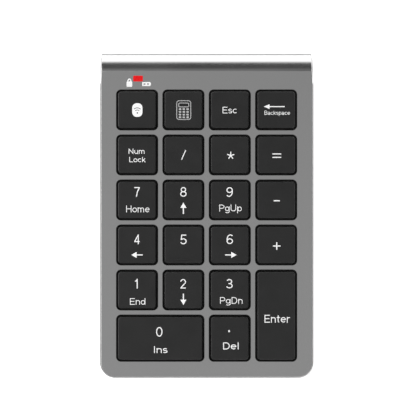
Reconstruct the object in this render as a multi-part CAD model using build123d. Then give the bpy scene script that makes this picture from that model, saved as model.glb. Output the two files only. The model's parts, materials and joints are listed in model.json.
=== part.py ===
from build123d import *
from math import asin, atan2, cos, degrees, hypot, radians, sin
import os

# Slim 22-key number pad: a sheet-metal deck that curls over a round battery tube at the rear, a moulded
# bottom shell, and low keys that slide in a guide frame over rubber domes.
#
# Everything is drawn in the deck frame: X to the right, Y rearward along the deck from its front edge,
# Z square to the deck with 0 on its top face. place() then tips it back onto its feet.

# Driving dimensions, in millimetres and degrees.
WIDTH = 87.2
LENGTH = 133.3
SLAB_THICKNESS = 7.0
FRONT_CORNER_RADIUS = 6.0
TUBE_RADIUS = 7.3
TUBE_END_X = 43.35
DRAW_IN_LENGTH = 6.0
EDGE_ROUND = 0.35
UNDERSIDE_ROUND = 1.2

SHEET = 1.0
SHELL_WALL = 1.2
PARTING_Z = -3.4
PARTING_GAP = 0.1
WRAP_END_Z = -5.7
RIM = 0.4
RIM_HEIGHT = 1.1

KEY_PITCH_X = 19.05
KEY_PITCH_Y = 18.5
SECOND_ROW_Y = 36.0
FRONT_ROW_Y = 16.2
ROWS = 6
WINDOW_WIDTH = 17.0
WINDOW_DEPTH = 16.55
FRONT_WINDOW_DEPTH = 19.1
WINDOW_CORNER_RADIUS = 1.9
WINDOW_CHAMFER = 0.15

KEY_GAP = 0.6
KEY_HEIGHT = 2.0
KEY_TRAVEL = 1.8
KEY_SKIRT = 1.0
KEY_DRAFT = 0.25
KEY_WALL = 1.0
KEY_EDGE_ROUND = 0.35

PLUNGER_RADIUS = 2.5
SLEEVE_CLEARANCE = 0.06
SLEEVE_RADIUS = 3.5
PLUNGER_BORE_RADIUS = 1.2
PLUNGER_BORE_DEPTH = 2.0
BARB_WIDTH = 0.8
BARB_REACH = 3.2
BARB_TOP_Z = -1.4
BARB_CLEARANCE = 0.1
BARB_SLOT_REACH = 4.0

DOME_TOP_Z = -2.7
DOME_HEAD_RADIUS = 1.9
DOME_SHOULDER_Z = -3.9
DOME_ROOT_RADIUS = 2.9
DOME_FLANGE_RADIUS = 3.5
DOME_FLANGE_TOP_Z = -4.9
DOME_MOUTH_RADIUS = 2.65
DOME_WEB_Z = -3.95
DOME_HOLLOW_RADIUS = 1.6
DOME_HOLLOW_TOP_Z = -3.4
DOME_PILL_RADIUS = 0.8
DOME_PILL_Z = -3.9

FRAME_TOP_Z = -2.9
FRAME_BOTTOM_Z = -3.9
SLEEVE_TOP_Z = -0.9
MEMBRANE_TOP_Z = -5.1
PLATE_TOP_Z = -5.4
FLOOR_Z = SHELL_WALL - SLAB_THICKNESS
FRAME_HALF_WIDTH = 37.9
FRAME_FRONT_Y = 6.0
FRAME_REAR_Y = 118.6
STAKE_RADIUS = 0.9
STAKE_HOLE_RADIUS = 1.1
STAKE_SHOULDER_RADIUS = 1.6
TAIL_X = (-32.0, -24.0)
TAIL_THICKNESS = 0.15
TAIL_GRIP = 1.4

CELL_BORE_RADIUS = 5.5
CHAMBER_RADIUS = 6.2
WRAP_INNER_RADIUS = TUBE_RADIUS - SHEET
CHAMBER_START_X = -12.2
CHAMBER_END_X = 41.2
BULKHEAD = 1.2
CHAMBER_STRIP_Z = -4.6
END_FACE_X = 43.65
PLUG_BACK_X = 41.3
PLUG_SKIRT_X = 38.8
PLUG_WALL = 0.85
END_DISC_RADIUS = 6.05
END_DISC_ROUND = 0.3
CAP_GAP = 0.1
CAP_CLEARANCE = 0.08
CAP_NUB_LENGTH = 0.6
COIN_SLOT_LENGTH = 8.0
COIN_SLOT_WIDTH = 1.4
COIN_SLOT_DEPTH = 0.9

CELL_RADIUS = 5.25
CELL_LENGTH = 44.5
CELL_NUB_RADIUS = 1.9
CELL_NUB_LENGTH = 0.8
CELL_ROUND = 0.5
CELL_END_X = 38.2
COIL_WIRE = 0.6
COIL_RADIUS = 2.6
COIL_TURNS = 3
COIL_END_GAP = 0.05
STRIP_THICKNESS = 0.25
STRIP_WIDTH = 2.0
STRIP_GAP = 0.4
STRIP_OVERRUN = 3.0

LENS_X = -28.2
LENS_Y = 122.9
LENS_WIDTH = 4.0
LENS_DEPTH = 2.4
LENS_CORNER_RADIUS = 0.4
LENS_LIP_REACH = 0.5
LENS_LIP_HEIGHT = 0.4
LENS_LIP_CORNER_RADIUS = 0.6
LENS_PIPE_WIDTH = 2.0
LENS_PIPE_DEPTH = 1.6

BOARD_TOP_Z = -4.2
BOARD_BOTTOM_Z = -5.0
BOARD_X = (-37.6, -13.4)
BOARD_Y = (121.0, 131.0)
BOARD_RIB = 1.0
BOARD_RIB_PLACES = (-33.5, -16.5)
SWITCH_Z = -6.6
SWITCH_NOSE = 0.3
SWITCH_GAP = 0.1
SWITCH_LENGTH = 3.0
SWITCH_WIDTH = 4.0
SWITCH_BELOW = 1.2
SWITCH_NOSE_WIDTH = 1.6
LAMP_WIDTH = 1.6
LAMP_DEPTH = 1.2
LAMP_HEIGHT = 0.6
SOCKET_X = (-32.6, -23.4)
SOCKET_DEPTH = 3.0
SOCKET_HEIGHT = 1.0

# Chips on top of the board: range in X, range in Y, height.
CHIPS = [
    ((-23.5, -18.5), (123.2, 128.2), 0.8),
    ((-17.3, -14.8), (124.0, 127.2), 0.7),
    ((-36.5, -35.5), (127.4, 129.0), 0.5),
    ((-34.5, -33.5), (127.4, 129.0), 0.5),
    ((-32.1, -31.1), (127.4, 129.0), 0.5),
]

BUTTON_RADIUS = 3.0
BUTTON_FACE_X = 43.75
BUTTON_FLANGE_X = 41.2
BUTTON_ROUND = 0.35
BUTTON_FLANGE = 0.8
BUTTON_FLANGE_REACH = 0.7
BUTTON_TRAVEL = 0.5
BUTTON_STEM = 2.0

WIRE_RADIUS = 0.4
WIRE_ARM = 6.0
WIRE_HALF_SPAN = 13.0
WIRE_OFFSET = 4.8
WIRE_PIVOT_Z = -2.0
WIRE_HOOK = 1.8
WIRE_EYE_RADIUS = 0.46
WIRE_BEND_RADIUS = 0.8
HOLDER_SPAN = 9.0
HOLDER_WIDTH = 1.8
HOLDER_DEPTH = 2.2
HOLDER_ABOVE_PIVOT = 1.0
CLIP_WIDTH = 1.2
CLIP_OVERHANG = 0.1
CLIP_DEPTH = 2.8
CLIP_BELOW_HOOK = 1.0
CLIP_SLOT_DEPTH = 1.5
WIRE_WINDOW_WIDTH = 3.8
WIRE_WINDOW_SHIFT = 0.2
WIRE_WINDOW_AHEAD = 1.7
WIRE_WINDOW_BEHIND = 0.9

FRONT_FOOT_Y = 14.0
FOOT_X = 33.0
FRONT_FOOT_RADIUS = 4.0
FRONT_FOOT_HEIGHT = 1.0
REAR_FOOT_HEIGHT = 0.8
REAR_FOOT_LENGTH = 11.0
REAR_FOOT_DEPTH = 4.6
REAR_FOOT_CORNER_RADIUS = 1.0
REAR_FOOT_Y = 123.0
FOOT_RECESS = 0.3
FOOT_STOCK = 16.0

BOSS_RADIUS = 1.8
BOSS_Z = -4.2
SCREW_SEAT_Z = -6.1
SCREW_HEAD_RADIUS = 1.6
SCREW_HEAD_HEIGHT = 0.8
SCREW_HEAD_ROUND = 0.3
SCREW_HEAD_GAP = 0.15
SCREW_SHANK_RADIUS = 0.78
SCREW_SHANK_GAP = 0.12
SCREW_TIP_Z = -1.4
THREAD_GAP = 0.02
THREAD_TOP_Z = -1.1
CROSS_LENGTH = 2.0
CROSS_WIDTH = 0.4
CROSS_DEPTH = 0.45
SCREW_PLACES = [(-40.4, 16), (40.4, 16), (-40.4, 62), (40.4, 62), (-40.4, 108), (40.4, 108), (0, 3.5)]

# How far joined shapes sink into each other, and how far cutting shapes run past what they cut.
TOUCH = 1e-3
SINK = 0.2
PAST = 1.0

# Worked out from the driving dimensions.
HALF_WIDTH = WIDTH / 2
FOOT_SEAT_Z = -SLAB_THICKNESS + FOOT_RECESS
TUBE_Y = LENGTH - TUBE_RADIUS
TUBE_Z = -TUBE_RADIUS
WIRE_LIFT = degrees(asin(KEY_TRAVEL / 2 / WIRE_ARM))

# The deck tips back until the feet under the slab and under the tube stand on one plane.
FOOT_RUN = TUBE_Y - FRONT_FOOT_Y
FOOT_DROP = SLAB_THICKNESS - TUBE_RADIUS
RISE = TUBE_RADIUS + REAR_FOOT_HEIGHT - FRONT_FOOT_HEIGHT
TILT = degrees(asin(RISE / hypot(FOOT_RUN, FOOT_DROP)) - atan2(FOOT_DROP, FOOT_RUN))
TUBE_HEIGHT = TUBE_RADIUS + REAR_FOOT_HEIGHT
LIFT = TUBE_HEIGHT - TUBE_Y * sin(radians(TILT)) - TUBE_Z * cos(radians(TILT))
REAR_Y = TUBE_Y * cos(radians(TILT)) - TUBE_Z * sin(radians(TILT)) + TUBE_RADIUS
FRONT_Y = (PARTING_GAP - PARTING_Z) * sin(radians(TILT)) - RIM * cos(radians(TILT))
SHIFT = -(REAR_Y + FRONT_Y) / 2

# Each key: name, first column, number of columns, first row from the front, number of rows.
KEYS = [
    ("key_wireless", 0, 1, 5, 1),
    ("key_calculator", 1, 1, 5, 1),
    ("key_escape", 2, 1, 5, 1),
    ("key_backspace", 3, 1, 5, 1),
    ("key_num_lock", 0, 1, 4, 1),
    ("key_divide", 1, 1, 4, 1),
    ("key_multiply", 2, 1, 4, 1),
    ("key_equals", 3, 1, 4, 1),
    ("key_7", 0, 1, 3, 1),
    ("key_8", 1, 1, 3, 1),
    ("key_9", 2, 1, 3, 1),
    ("key_minus", 3, 1, 3, 1),
    ("key_4", 0, 1, 2, 1),
    ("key_5", 1, 1, 2, 1),
    ("key_6", 2, 1, 2, 1),
    ("key_plus", 3, 1, 2, 1),
    ("key_1", 0, 1, 1, 1),
    ("key_2", 1, 1, 1, 1),
    ("key_3", 2, 1, 1, 1),
    ("key_enter", 3, 1, 0, 2),
    ("key_0", 0, 2, 0, 1),
    ("key_decimal", 2, 1, 0, 1),
]

# Keys too long for one guide, with the turn that lays their wire along them.
STABILISED = [("key_0", 0), ("key_enter", 90)]


def place(shape):
    """Tip a shape from the deck frame onto its feet, centred over the origin."""
    return Pos(0, SHIFT, LIFT) * Rot(TILT, 0, 0) * shape


def block(x_range, y_range, z_range):
    """A box between two values along each axis."""
    size = [high - low for low, high in (x_range, y_range, z_range)]
    middle = [(high + low) / 2 for low, high in (x_range, y_range, z_range)]
    return Pos(*middle) * Box(*size)


def post(x, y, radius, z_low, z_high):
    """A round post square to the deck."""
    return Pos(x, y, (z_low + z_high) / 2) * Cylinder(radius, z_high - z_low)


def bar_x(radius, x_low, x_high, y=TUBE_Y, z=TUBE_Z):
    """A round bar along X, on the tube's axis unless told otherwise."""
    return Pos((x_low + x_high) / 2, y, z) * Rot(0, 90, 0) * Cylinder(radius, x_high - x_low)


def row_span(row):
    """Front and rear edge of a row's windows."""
    if row == 0:
        middle, depth = FRONT_ROW_Y, FRONT_WINDOW_DEPTH
    else:
        middle, depth = SECOND_ROW_Y + (row - 1) * KEY_PITCH_Y, WINDOW_DEPTH
    return middle - depth / 2, middle + depth / 2


def window_box(column, columns, row, rows):
    """Centre X and Y, width and depth of a key's window."""
    width = WINDOW_WIDTH + (columns - 1) * KEY_PITCH_X
    x = (column + (columns - 1) / 2 - 1.5) * KEY_PITCH_X
    front = row_span(row)[0]
    rear = row_span(row + rows - 1)[1]
    return x, (front + rear) / 2, width, rear - front


def plan_outline(inset=0.0):
    """The slab seen square to the deck: round front corners, and sides drawn in towards the tube."""
    half = HALF_WIDTH - inset
    corner = FRONT_CORNER_RADIUS - inset
    with BuildSketch() as outline:
        with BuildLine():
            Line((0, inset), (half - corner, inset))
            TangentArc((half - corner, inset), (half, inset + corner), tangent=(1, 0))
            Line((half, inset + corner), (half, TUBE_Y - DRAW_IN_LENGTH))
            TangentArc((half, TUBE_Y - DRAW_IN_LENGTH), (TUBE_END_X - inset, TUBE_Y), tangent=(0, 1))
            Line((TUBE_END_X - inset, TUBE_Y), (0, TUBE_Y))
            Line((0, TUBE_Y), (0, inset))
        make_face()
        mirror(about=Plane.YZ)
    return outline.sketch


def plan_prism(inset, z_low, z_high):
    """The slab's outline, drawn in all round by the inset, between two heights."""
    return Pos(0, 0, z_low) * extrude(plan_outline(inset), z_high - z_low)


def outer_body():
    """The closed outer shape of the case: a flat slab with soft edges that runs into the round tube."""
    slab = plan_prism(0, -SLAB_THICKNESS, 0)
    top = [e for e in slab.edges() if abs(e.center().Z) < TOUCH and e.center().Y < TUBE_Y - TOUCH]
    slab = fillet(top, EDGE_ROUND)
    low = [e for e in slab.edges() if abs(e.center().Z + SLAB_THICKNESS) < TOUCH]
    slab = fillet([e for e in low if e.center().Y < TUBE_Y - TOUCH], UNDERSIDE_ROUND)
    tube = bar_x(TUBE_RADIUS, -TUBE_END_X, TUBE_END_X)
    tube = fillet(tube.edges().filter_by(GeomType.CIRCLE), EDGE_ROUND)
    return slab + tube


def top_cover(body):
    """Aluminium deck with its key windows, shallow side walls and the sheet that curls over the tube."""
    reach = (-WIDTH, WIDTH)
    ahead = block(reach, (-PAST, TUBE_Y), (PARTING_Z, PAST))
    behind = block(reach, (TUBE_Y, LENGTH + PAST), (WRAP_END_Z, PAST))
    cover = body & (ahead + behind)
    cover -= plan_prism(SHEET, PARTING_Z - PAST, -SHEET)
    cover -= bar_x(WRAP_INNER_RADIUS, *reach)
    for x, y in SCREW_PLACES:
        cover += post(x, y, BOSS_RADIUS, BOSS_Z, -SHEET / 2)
        cover -= post(x, y, SCREW_SHANK_RADIUS + THREAD_GAP, BOSS_Z - PAST, THREAD_TOP_Z)
    for _, *cell in KEYS:
        x, y, width, depth = window_box(*cell)
        outline = RectangleRounded(width, depth, WINDOW_CORNER_RADIUS)
        cover -= Pos(x, y, 0) * extrude(outline, SHEET + PAST, both=True)
    rims = [e for e in cover.edges() if abs(e.center().Z) < TOUCH and is_rim(e.center())]
    cover = chamfer(rims, WINDOW_CHAMFER)
    slot = extrude(RectangleRounded(LENS_WIDTH, LENS_DEPTH, LENS_CORNER_RADIUS), SHEET + PAST, both=True)
    return cover - Pos(LENS_X, LENS_Y, 0) * slot


def is_rim(middle):
    """True where the middle of an edge lies inside the deck's border, on a key window's rim."""
    return abs(middle.X) < FRAME_HALF_WIDTH and FRAME_FRONT_Y < middle.Y < FRAME_REAR_Y


def bottom_shell(body):
    """Moulded tray under the keys, with a rim just wider than the deck, the tube's lower skin with a
    ledge under the end of the deck's sheet, and the battery chamber."""
    reach = (-WIDTH, WIDTH)
    shell_top = PARTING_Z - PARTING_GAP
    ledge_top = WRAP_END_Z - PARTING_GAP
    ahead = block(reach, (-PAST, TUBE_Y), (-LENGTH, shell_top))
    behind = block(reach, (TUBE_Y, LENGTH + PAST), (-LENGTH, ledge_top))
    shell = body & (ahead + behind)
    shell += plan_prism(-RIM, shell_top - RIM_HEIGHT, shell_top)
    shell += block((-TUBE_END_X, TUBE_END_X), (TUBE_Y, LENGTH), (TUBE_Z, ledge_top))
    shell -= plan_prism(SHELL_WALL, FLOOR_Z, PAST)
    shell += bar_x(CHAMBER_RADIUS, CHAMBER_START_X, CHAMBER_END_X)
    shell -= bar_x(CELL_BORE_RADIUS, CHAMBER_START_X + BULKHEAD, WIDTH)
    shell -= bar_x(CHAMBER_RADIUS, -WIDTH, CHAMBER_START_X)
    shell -= bar_x(CHAMBER_RADIUS, CHAMBER_END_X, WIDTH)
    for x in BOARD_RIB_PLACES:
        rib = bar_x(CHAMBER_RADIUS, x - BOARD_RIB / 2, x + BOARD_RIB / 2)
        shell += rib & block(reach, (0, LENGTH), (-LENGTH, BOARD_BOTTOM_Z))
    for x, y in SCREW_PLACES:
        shell += post(x, y, BOSS_RADIUS, FLOOR_Z - SINK, BOSS_Z - PARTING_GAP)
        shell -= post(x, y, SCREW_SHANK_RADIUS + SCREW_SHANK_GAP, -LENGTH, 0)
        shell -= post(x, y, SCREW_HEAD_RADIUS + SCREW_HEAD_GAP, -LENGTH, SCREW_SEAT_Z)
    for foot in foot_blocks():
        shell -= foot
    return shell


def foot_blocks():
    """The four feet before their ground faces are cut: two discs in front, two pads on the tube."""
    feet = []
    for side in (-1, 1):
        feet.append(post(side * FOOT_X, FRONT_FOOT_Y, FRONT_FOOT_RADIUS, -FOOT_STOCK, FOOT_SEAT_Z))
    outline = RectangleRounded(REAR_FOOT_LENGTH, REAR_FOOT_DEPTH, REAR_FOOT_CORNER_RADIUS)
    for side in (-1, 1):
        pad = Pos(side * FOOT_X, REAR_FOOT_Y, TUBE_Z - FOOT_STOCK) * extrude(outline, FOOT_STOCK)
        feet.append(pad - bar_x(TUBE_RADIUS - FOOT_RECESS, -WIDTH, WIDTH))
    return feet


def rubber_feet():
    """Four feet whose ground faces lie in one plane, the table."""
    ground = Pos(0, 0, -LENGTH / 2) * Box(2 * LENGTH, 2 * LENGTH, LENGTH)
    return [place(foot) - ground for foot in foot_blocks()]


def tube_end_plug():
    """Ring that closes the left end of the tube and guides the power button."""
    plug = bar_x(END_DISC_RADIUS, -END_FACE_X, -PLUG_BACK_X)
    plug = fillet(plug.edges().group_by(Axis.X)[0], END_DISC_ROUND)
    plug += bar_x(END_DISC_RADIUS, -PLUG_BACK_X, -PLUG_SKIRT_X)
    plug -= bar_x(END_DISC_RADIUS - PLUG_WALL, -PLUG_BACK_X, -PLUG_SKIRT_X + PAST)
    return plug - bar_x(BUTTON_RADIUS + SLEEVE_CLEARANCE, -WIDTH, 0)


def power_button():
    """Round push button with a flange behind the plug and a stem to the switch on the board."""
    button = bar_x(BUTTON_RADIUS, -BUTTON_FACE_X, -BUTTON_FLANGE_X)
    button = fillet(button.edges().group_by(Axis.X)[0], BUTTON_ROUND)
    flange_end = BUTTON_FLANGE - BUTTON_FLANGE_X
    button += bar_x(BUTTON_RADIUS + BUTTON_FLANGE_REACH, -BUTTON_FLANGE_X, flange_end)
    stem_end = BOARD_X[0] - SWITCH_NOSE - BUTTON_TRAVEL - SWITCH_GAP
    half = BUTTON_STEM / 2
    stem = block((flange_end, stem_end), (TUBE_Y - half, TUBE_Y + half), (TUBE_Z - half, SWITCH_Z + half))
    return button + stem


def battery_cap():
    """Screw-in cap with a coin slot that closes the right end of the tube and touches the cell."""
    seat_x = CHAMBER_END_X + CAP_GAP
    nub_end_x = CELL_END_X + CAP_NUB_LENGTH
    cap = bar_x(END_DISC_RADIUS, seat_x, END_FACE_X)
    cap = fillet(cap.edges().group_by(Axis.X)[-1], END_DISC_ROUND)
    cap += bar_x(CELL_BORE_RADIUS - CAP_CLEARANCE, nub_end_x, seat_x)
    cap += bar_x(CELL_NUB_RADIUS, CELL_END_X, nub_end_x)
    slot_x = (END_FACE_X - COIN_SLOT_DEPTH, END_FACE_X + PAST)
    slot_y = (TUBE_Y - COIN_SLOT_LENGTH / 2, TUBE_Y + COIN_SLOT_LENGTH / 2)
    slot_z = (TUBE_Z - COIN_SLOT_WIDTH / 2, TUBE_Z + COIN_SLOT_WIDTH / 2)
    return cap - block(slot_x, slot_y, slot_z)


def battery_cell():
    """One small round cell, its button end towards the cap."""
    base_x = CELL_END_X - CELL_LENGTH
    can = bar_x(CELL_RADIUS, base_x, CELL_END_X - CELL_NUB_LENGTH)
    can = fillet(can.edges().filter_by(GeomType.CIRCLE), CELL_ROUND)
    return can + bar_x(CELL_NUB_RADIUS, CELL_END_X - CELL_NUB_LENGTH - SINK, CELL_END_X)


def battery_contacts():
    """Coil spring behind the cell, and the sprung strip that brings the cap's side of the circuit back."""
    start_x = CHAMBER_START_X + BULKHEAD
    end_x = CELL_END_X - CELL_LENGTH
    height = end_x - start_x - COIL_WIRE - 2 * COIL_END_GAP
    coil = Helix(height / COIL_TURNS, height, COIL_RADIUS)
    start = coil @ 0
    profile = Plane(origin=start, z_dir=coil % 0) * Circle(COIL_WIRE / 2)
    coil = sweep(profile, path=coil, is_frenet=True)
    coil = Pos(start_x + COIL_WIRE / 2 + COIL_END_GAP, TUBE_Y, TUBE_Z) * Rot(0, 90, 0) * coil
    strip_x = (CHAMBER_START_X - STRIP_OVERRUN, CHAMBER_END_X)
    strip_y = TUBE_Y - CHAMBER_RADIUS - STRIP_GAP
    strip_z = (CHAMBER_STRIP_Z, CHAMBER_STRIP_Z + STRIP_WIDTH)
    return [coil, block(strip_x, (strip_y - STRIP_THICKNESS, strip_y), strip_z)]


def keycap(width, depth, posts):
    """Hollow cap with drafted sides and soft edges, on a round plunger with two retaining barbs."""
    foot = (width - 2 * KEY_GAP, depth - 2 * KEY_GAP)
    face = (foot[0] - 2 * KEY_DRAFT, foot[1] - 2 * KEY_DRAFT)
    corner = WINDOW_CORNER_RADIUS - KEY_GAP
    cap = tapered(foot, face, corner, -KEY_SKIRT, KEY_HEIGHT)
    cap = fillet(cap.edges().group_by(Axis.Z)[-1], KEY_EDGE_ROUND)
    inner_foot = (foot[0] - 2 * KEY_WALL, foot[1] - 2 * KEY_WALL)
    inner_face = (face[0] - 2 * KEY_WALL, face[1] - 2 * KEY_WALL)
    cap -= tapered(inner_foot, inner_face, corner - KEY_WALL / 2, -KEY_SKIRT, KEY_HEIGHT - KEY_WALL)
    roof = KEY_HEIGHT - KEY_WALL
    cap += post(0, 0, PLUNGER_RADIUS, DOME_TOP_Z, roof + TOUCH)
    cap += block((-BARB_REACH, BARB_REACH), (-BARB_WIDTH / 2, BARB_WIDTH / 2), (DOME_TOP_Z, BARB_TOP_Z))
    cap -= post(0, 0, PLUNGER_BORE_RADIUS, DOME_TOP_Z - PAST, DOME_TOP_Z + PLUNGER_BORE_DEPTH)
    for clip in posts:
        cap += clip
    return cap


def tapered(low, high, corner, z_low, z_high):
    """A rounded rectangle that narrows from one size at the bottom to another at the top."""
    bottom = Pos(0, 0, z_low) * RectangleRounded(*low, corner)
    top = Pos(0, 0, z_high) * RectangleRounded(*high, corner)
    return loft([bottom.face(), top.face()])


def dome():
    """Silicone dome that stands on the membrane and holds the plunger up."""
    outline = [
        (0, DOME_TOP_Z),
        (DOME_HEAD_RADIUS, DOME_TOP_Z),
        (DOME_HEAD_RADIUS, DOME_SHOULDER_Z),
        (DOME_ROOT_RADIUS, DOME_FLANGE_TOP_Z),
        (DOME_FLANGE_RADIUS, DOME_FLANGE_TOP_Z),
        (DOME_FLANGE_RADIUS, MEMBRANE_TOP_Z),
        (DOME_MOUTH_RADIUS, MEMBRANE_TOP_Z),
        (DOME_HOLLOW_RADIUS, DOME_WEB_Z),
        (DOME_HOLLOW_RADIUS, DOME_HOLLOW_TOP_Z),
        (DOME_PILL_RADIUS, DOME_HOLLOW_TOP_Z),
        (DOME_PILL_RADIUS, DOME_PILL_Z),
        (0, DOME_PILL_Z),
    ]
    profile = Plane.XZ * make_face(Polyline(*outline, close=True))
    return revolve(profile, Axis.Z)


def wire_path(ends_up):
    """Half a stabiliser wire: from the middle of its bar, along its arm, to the end of its hook.

    The bar lies on X and the arm points along -Y, lifted by the given angle in degrees.
    """
    drop = -WIRE_ARM * cos(radians(ends_up))
    rise = WIRE_ARM * sin(radians(ends_up))
    corners = [
        (0, 0, 0),
        (WIRE_HALF_SPAN, 0, 0),
        (WIRE_HALF_SPAN, drop, rise),
        (WIRE_HALF_SPAN - WIRE_HOOK, drop, rise),
    ]
    return FilletPolyline(*corners, radius=WIRE_BEND_RADIUS)


def stabiliser_wire():
    """Bent wire that keeps a long key level, its bar on the X axis and its hooks up."""
    path = wire_path(WIRE_LIFT)
    profile = Plane(origin=path @ 0, z_dir=path % 0) * Circle(WIRE_RADIUS)
    half = sweep(profile, path=path)
    return half + mirror(half, about=Plane.YZ)


def stabiliser_clips(turn):
    """Two clips under a long key that hold the wire's hooks, turned to lie along the key."""
    hook_y = WIRE_OFFSET - WIRE_ARM * cos(radians(WIRE_LIFT))
    hook_z = WIRE_PIVOT_Z + KEY_TRAVEL / 2
    middle = WIRE_HALF_SPAN - WIRE_HOOK + CLIP_WIDTH / 2 - CLIP_OVERHANG
    clip_y = (hook_y - CLIP_DEPTH / 2, hook_y + CLIP_DEPTH / 2)
    clip_z = (hook_z - CLIP_BELOW_HOOK, KEY_HEIGHT - KEY_WALL + TOUCH)
    slot_y = (hook_y - CLIP_SLOT_DEPTH / 2, hook_y + CLIP_SLOT_DEPTH / 2)
    slot_z = (hook_z - WIRE_EYE_RADIUS, hook_z + WIRE_EYE_RADIUS)
    clips = []
    for side in (-1, 1):
        x = side * middle
        ends = (x - CLIP_WIDTH / 2, x + CLIP_WIDTH / 2)
        slot = block((ends[0] - PAST, ends[1] + PAST), slot_y, slot_z)
        clips.append(Rot(0, 0, turn) * (block(ends, clip_y, clip_z) - slot))
    return clips


def wire_holders():
    """Two blocks on the guide frame in which a stabiliser's bar turns."""
    holders = []
    holder_y = (WIRE_OFFSET - HOLDER_DEPTH / 2, WIRE_OFFSET + HOLDER_DEPTH / 2)
    holder_z = (FRAME_TOP_Z - SINK, WIRE_PIVOT_Z + HOLDER_ABOVE_PIVOT)
    for side in (-1, 1):
        x = side * HOLDER_SPAN
        holder = block((x - HOLDER_WIDTH / 2, x + HOLDER_WIDTH / 2), holder_y, holder_z)
        eye = bar_x(WIRE_EYE_RADIUS, x - HOLDER_WIDTH, x + HOLDER_WIDTH, WIRE_OFFSET, WIRE_PIVOT_Z)
        holders.append(holder - eye)
    return holders


def wire_windows():
    """Openings in the guide frame for a stabiliser's arms and the clips that push them down."""
    window_y = (WIRE_OFFSET - WIRE_ARM - WIRE_WINDOW_AHEAD, WIRE_OFFSET + WIRE_WINDOW_BEHIND)
    half = WIRE_WINDOW_WIDTH / 2
    windows = []
    for side in (-1, 1):
        x = side * (WIRE_HALF_SPAN - WIRE_HOOK / 2 + WIRE_WINDOW_SHIFT)
        windows.append(block((x - half, x + half), window_y, (FRAME_BOTTOM_Z - PAST, 0)))
    return windows


def on_key(shape, name, turn=0):
    """Move a shape drawn round the origin to the middle of a key."""
    x, y, _, _ = window_box(*next(key[1:] for key in KEYS if key[0] == name))
    return Pos(x, y, 0) * Rot(0, 0, turn) * shape


def stake_places():
    """Middles of the webs between four keys, where the frame is staked through membrane and plate."""
    places = []
    for column in (-1, 0, 1):
        for row in range(1, ROWS):
            places.append((column * KEY_PITCH_X, (row_span(row - 1)[1] + row_span(row)[0]) / 2))
    return places


def layer(z_low, z_high):
    """A flat layer of the key assembly."""
    return block((-FRAME_HALF_WIDTH, FRAME_HALF_WIDTH), (FRAME_FRONT_Y, FRAME_REAR_Y), (z_low, z_high))


def guide_frame():
    """Moulded frame with one guide sleeve for each key, staked to the plate below."""
    frame = layer(FRAME_BOTTOM_Z, FRAME_TOP_Z)
    bore = PLUNGER_RADIUS + SLEEVE_CLEARANCE
    sleeves = []
    cutters = []
    for _, *cell in KEYS:
        x, y, _, _ = window_box(*cell)
        sleeves.append(post(x, y, SLEEVE_RADIUS, FRAME_BOTTOM_Z, SLEEVE_TOP_Z))
        cutters.append(post(x, y, bore, FRAME_BOTTOM_Z - PAST, 0))
        slot_x = (x - BARB_SLOT_REACH, x + BARB_SLOT_REACH)
        slot_y = (y - BARB_WIDTH / 2 - BARB_CLEARANCE, y + BARB_WIDTH / 2 + BARB_CLEARANCE)
        cutters.append(block(slot_x, slot_y, (FRAME_BOTTOM_Z - PAST, BARB_TOP_Z + BARB_CLEARANCE)))
    for name, turn in STABILISED:
        sleeves += [on_key(holder, name, turn) for holder in wire_holders()]
        cutters += [on_key(window, name, turn) for window in wire_windows()]
    for x, y in stake_places():
        sleeves.append(post(x, y, STAKE_SHOULDER_RADIUS, MEMBRANE_TOP_Z, FRAME_BOTTOM_Z + SINK))
        sleeves.append(post(x, y, STAKE_RADIUS, FLOOR_Z, MEMBRANE_TOP_Z + SINK))
    frame = frame.fuse(*sleeves)
    return frame.cut(*cutters)


def drilled_layer(z_low, z_high):
    """A layer with clearance holes for the frame's stakes."""
    holes = [post(x, y, STAKE_HOLE_RADIUS, z_low - PAST, z_high + PAST) for x, y in stake_places()]
    return layer(z_low, z_high).cut(*holes)


def membrane():
    """Printed switch membrane with the tail that runs to the circuit board."""
    tail_y = (FRAME_REAR_Y - PAST, BOARD_Y[0] + TAIL_GRIP)
    tail = block(TAIL_X, tail_y, (PLATE_TOP_Z, PLATE_TOP_Z + TAIL_THICKNESS))
    return drilled_layer(PLATE_TOP_Z, MEMBRANE_TOP_Z) + tail


def backing_plate():
    """Steel plate under the membrane, on the floor of the shell."""
    return drilled_layer(FLOOR_Z, PLATE_TOP_Z)


def circuit_board():
    """Board with its radio chip, crystal, tail connector, side-pressed switch and indicator lamp."""
    board = block(BOARD_X, BOARD_Y, (BOARD_BOTTOM_Z, BOARD_TOP_Z))
    top = BOARD_TOP_Z - TOUCH
    for x_range, y_range, height in CHIPS:
        board += block(x_range, y_range, (top, top + height))
    lamp_x = (LENS_X - LAMP_WIDTH / 2, LENS_X + LAMP_WIDTH / 2)
    lamp_y = (LENS_Y - LAMP_DEPTH / 2, LENS_Y + LAMP_DEPTH / 2)
    board += block(lamp_x, lamp_y, (top, top + LAMP_HEIGHT))
    below = BOARD_BOTTOM_Z + TOUCH
    socket_y = BOARD_Y[0] + TAIL_GRIP
    board += block(SOCKET_X, (socket_y, socket_y + SOCKET_DEPTH), (below - SOCKET_HEIGHT, below))
    switch_x = (BOARD_X[0] + SINK, BOARD_X[0] + SWITCH_LENGTH)
    switch_y = (TUBE_Y - SWITCH_WIDTH / 2, TUBE_Y + SWITCH_WIDTH / 2)
    board += block(switch_x, switch_y, (SWITCH_Z - SWITCH_BELOW, below))
    half = SWITCH_NOSE_WIDTH / 2
    nose_x = (BOARD_X[0] - SWITCH_NOSE, BOARD_X[0] + 2 * SINK)
    return board + block(nose_x, (TUBE_Y - half, TUBE_Y + half), (SWITCH_Z - half, SWITCH_Z + half))


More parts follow.
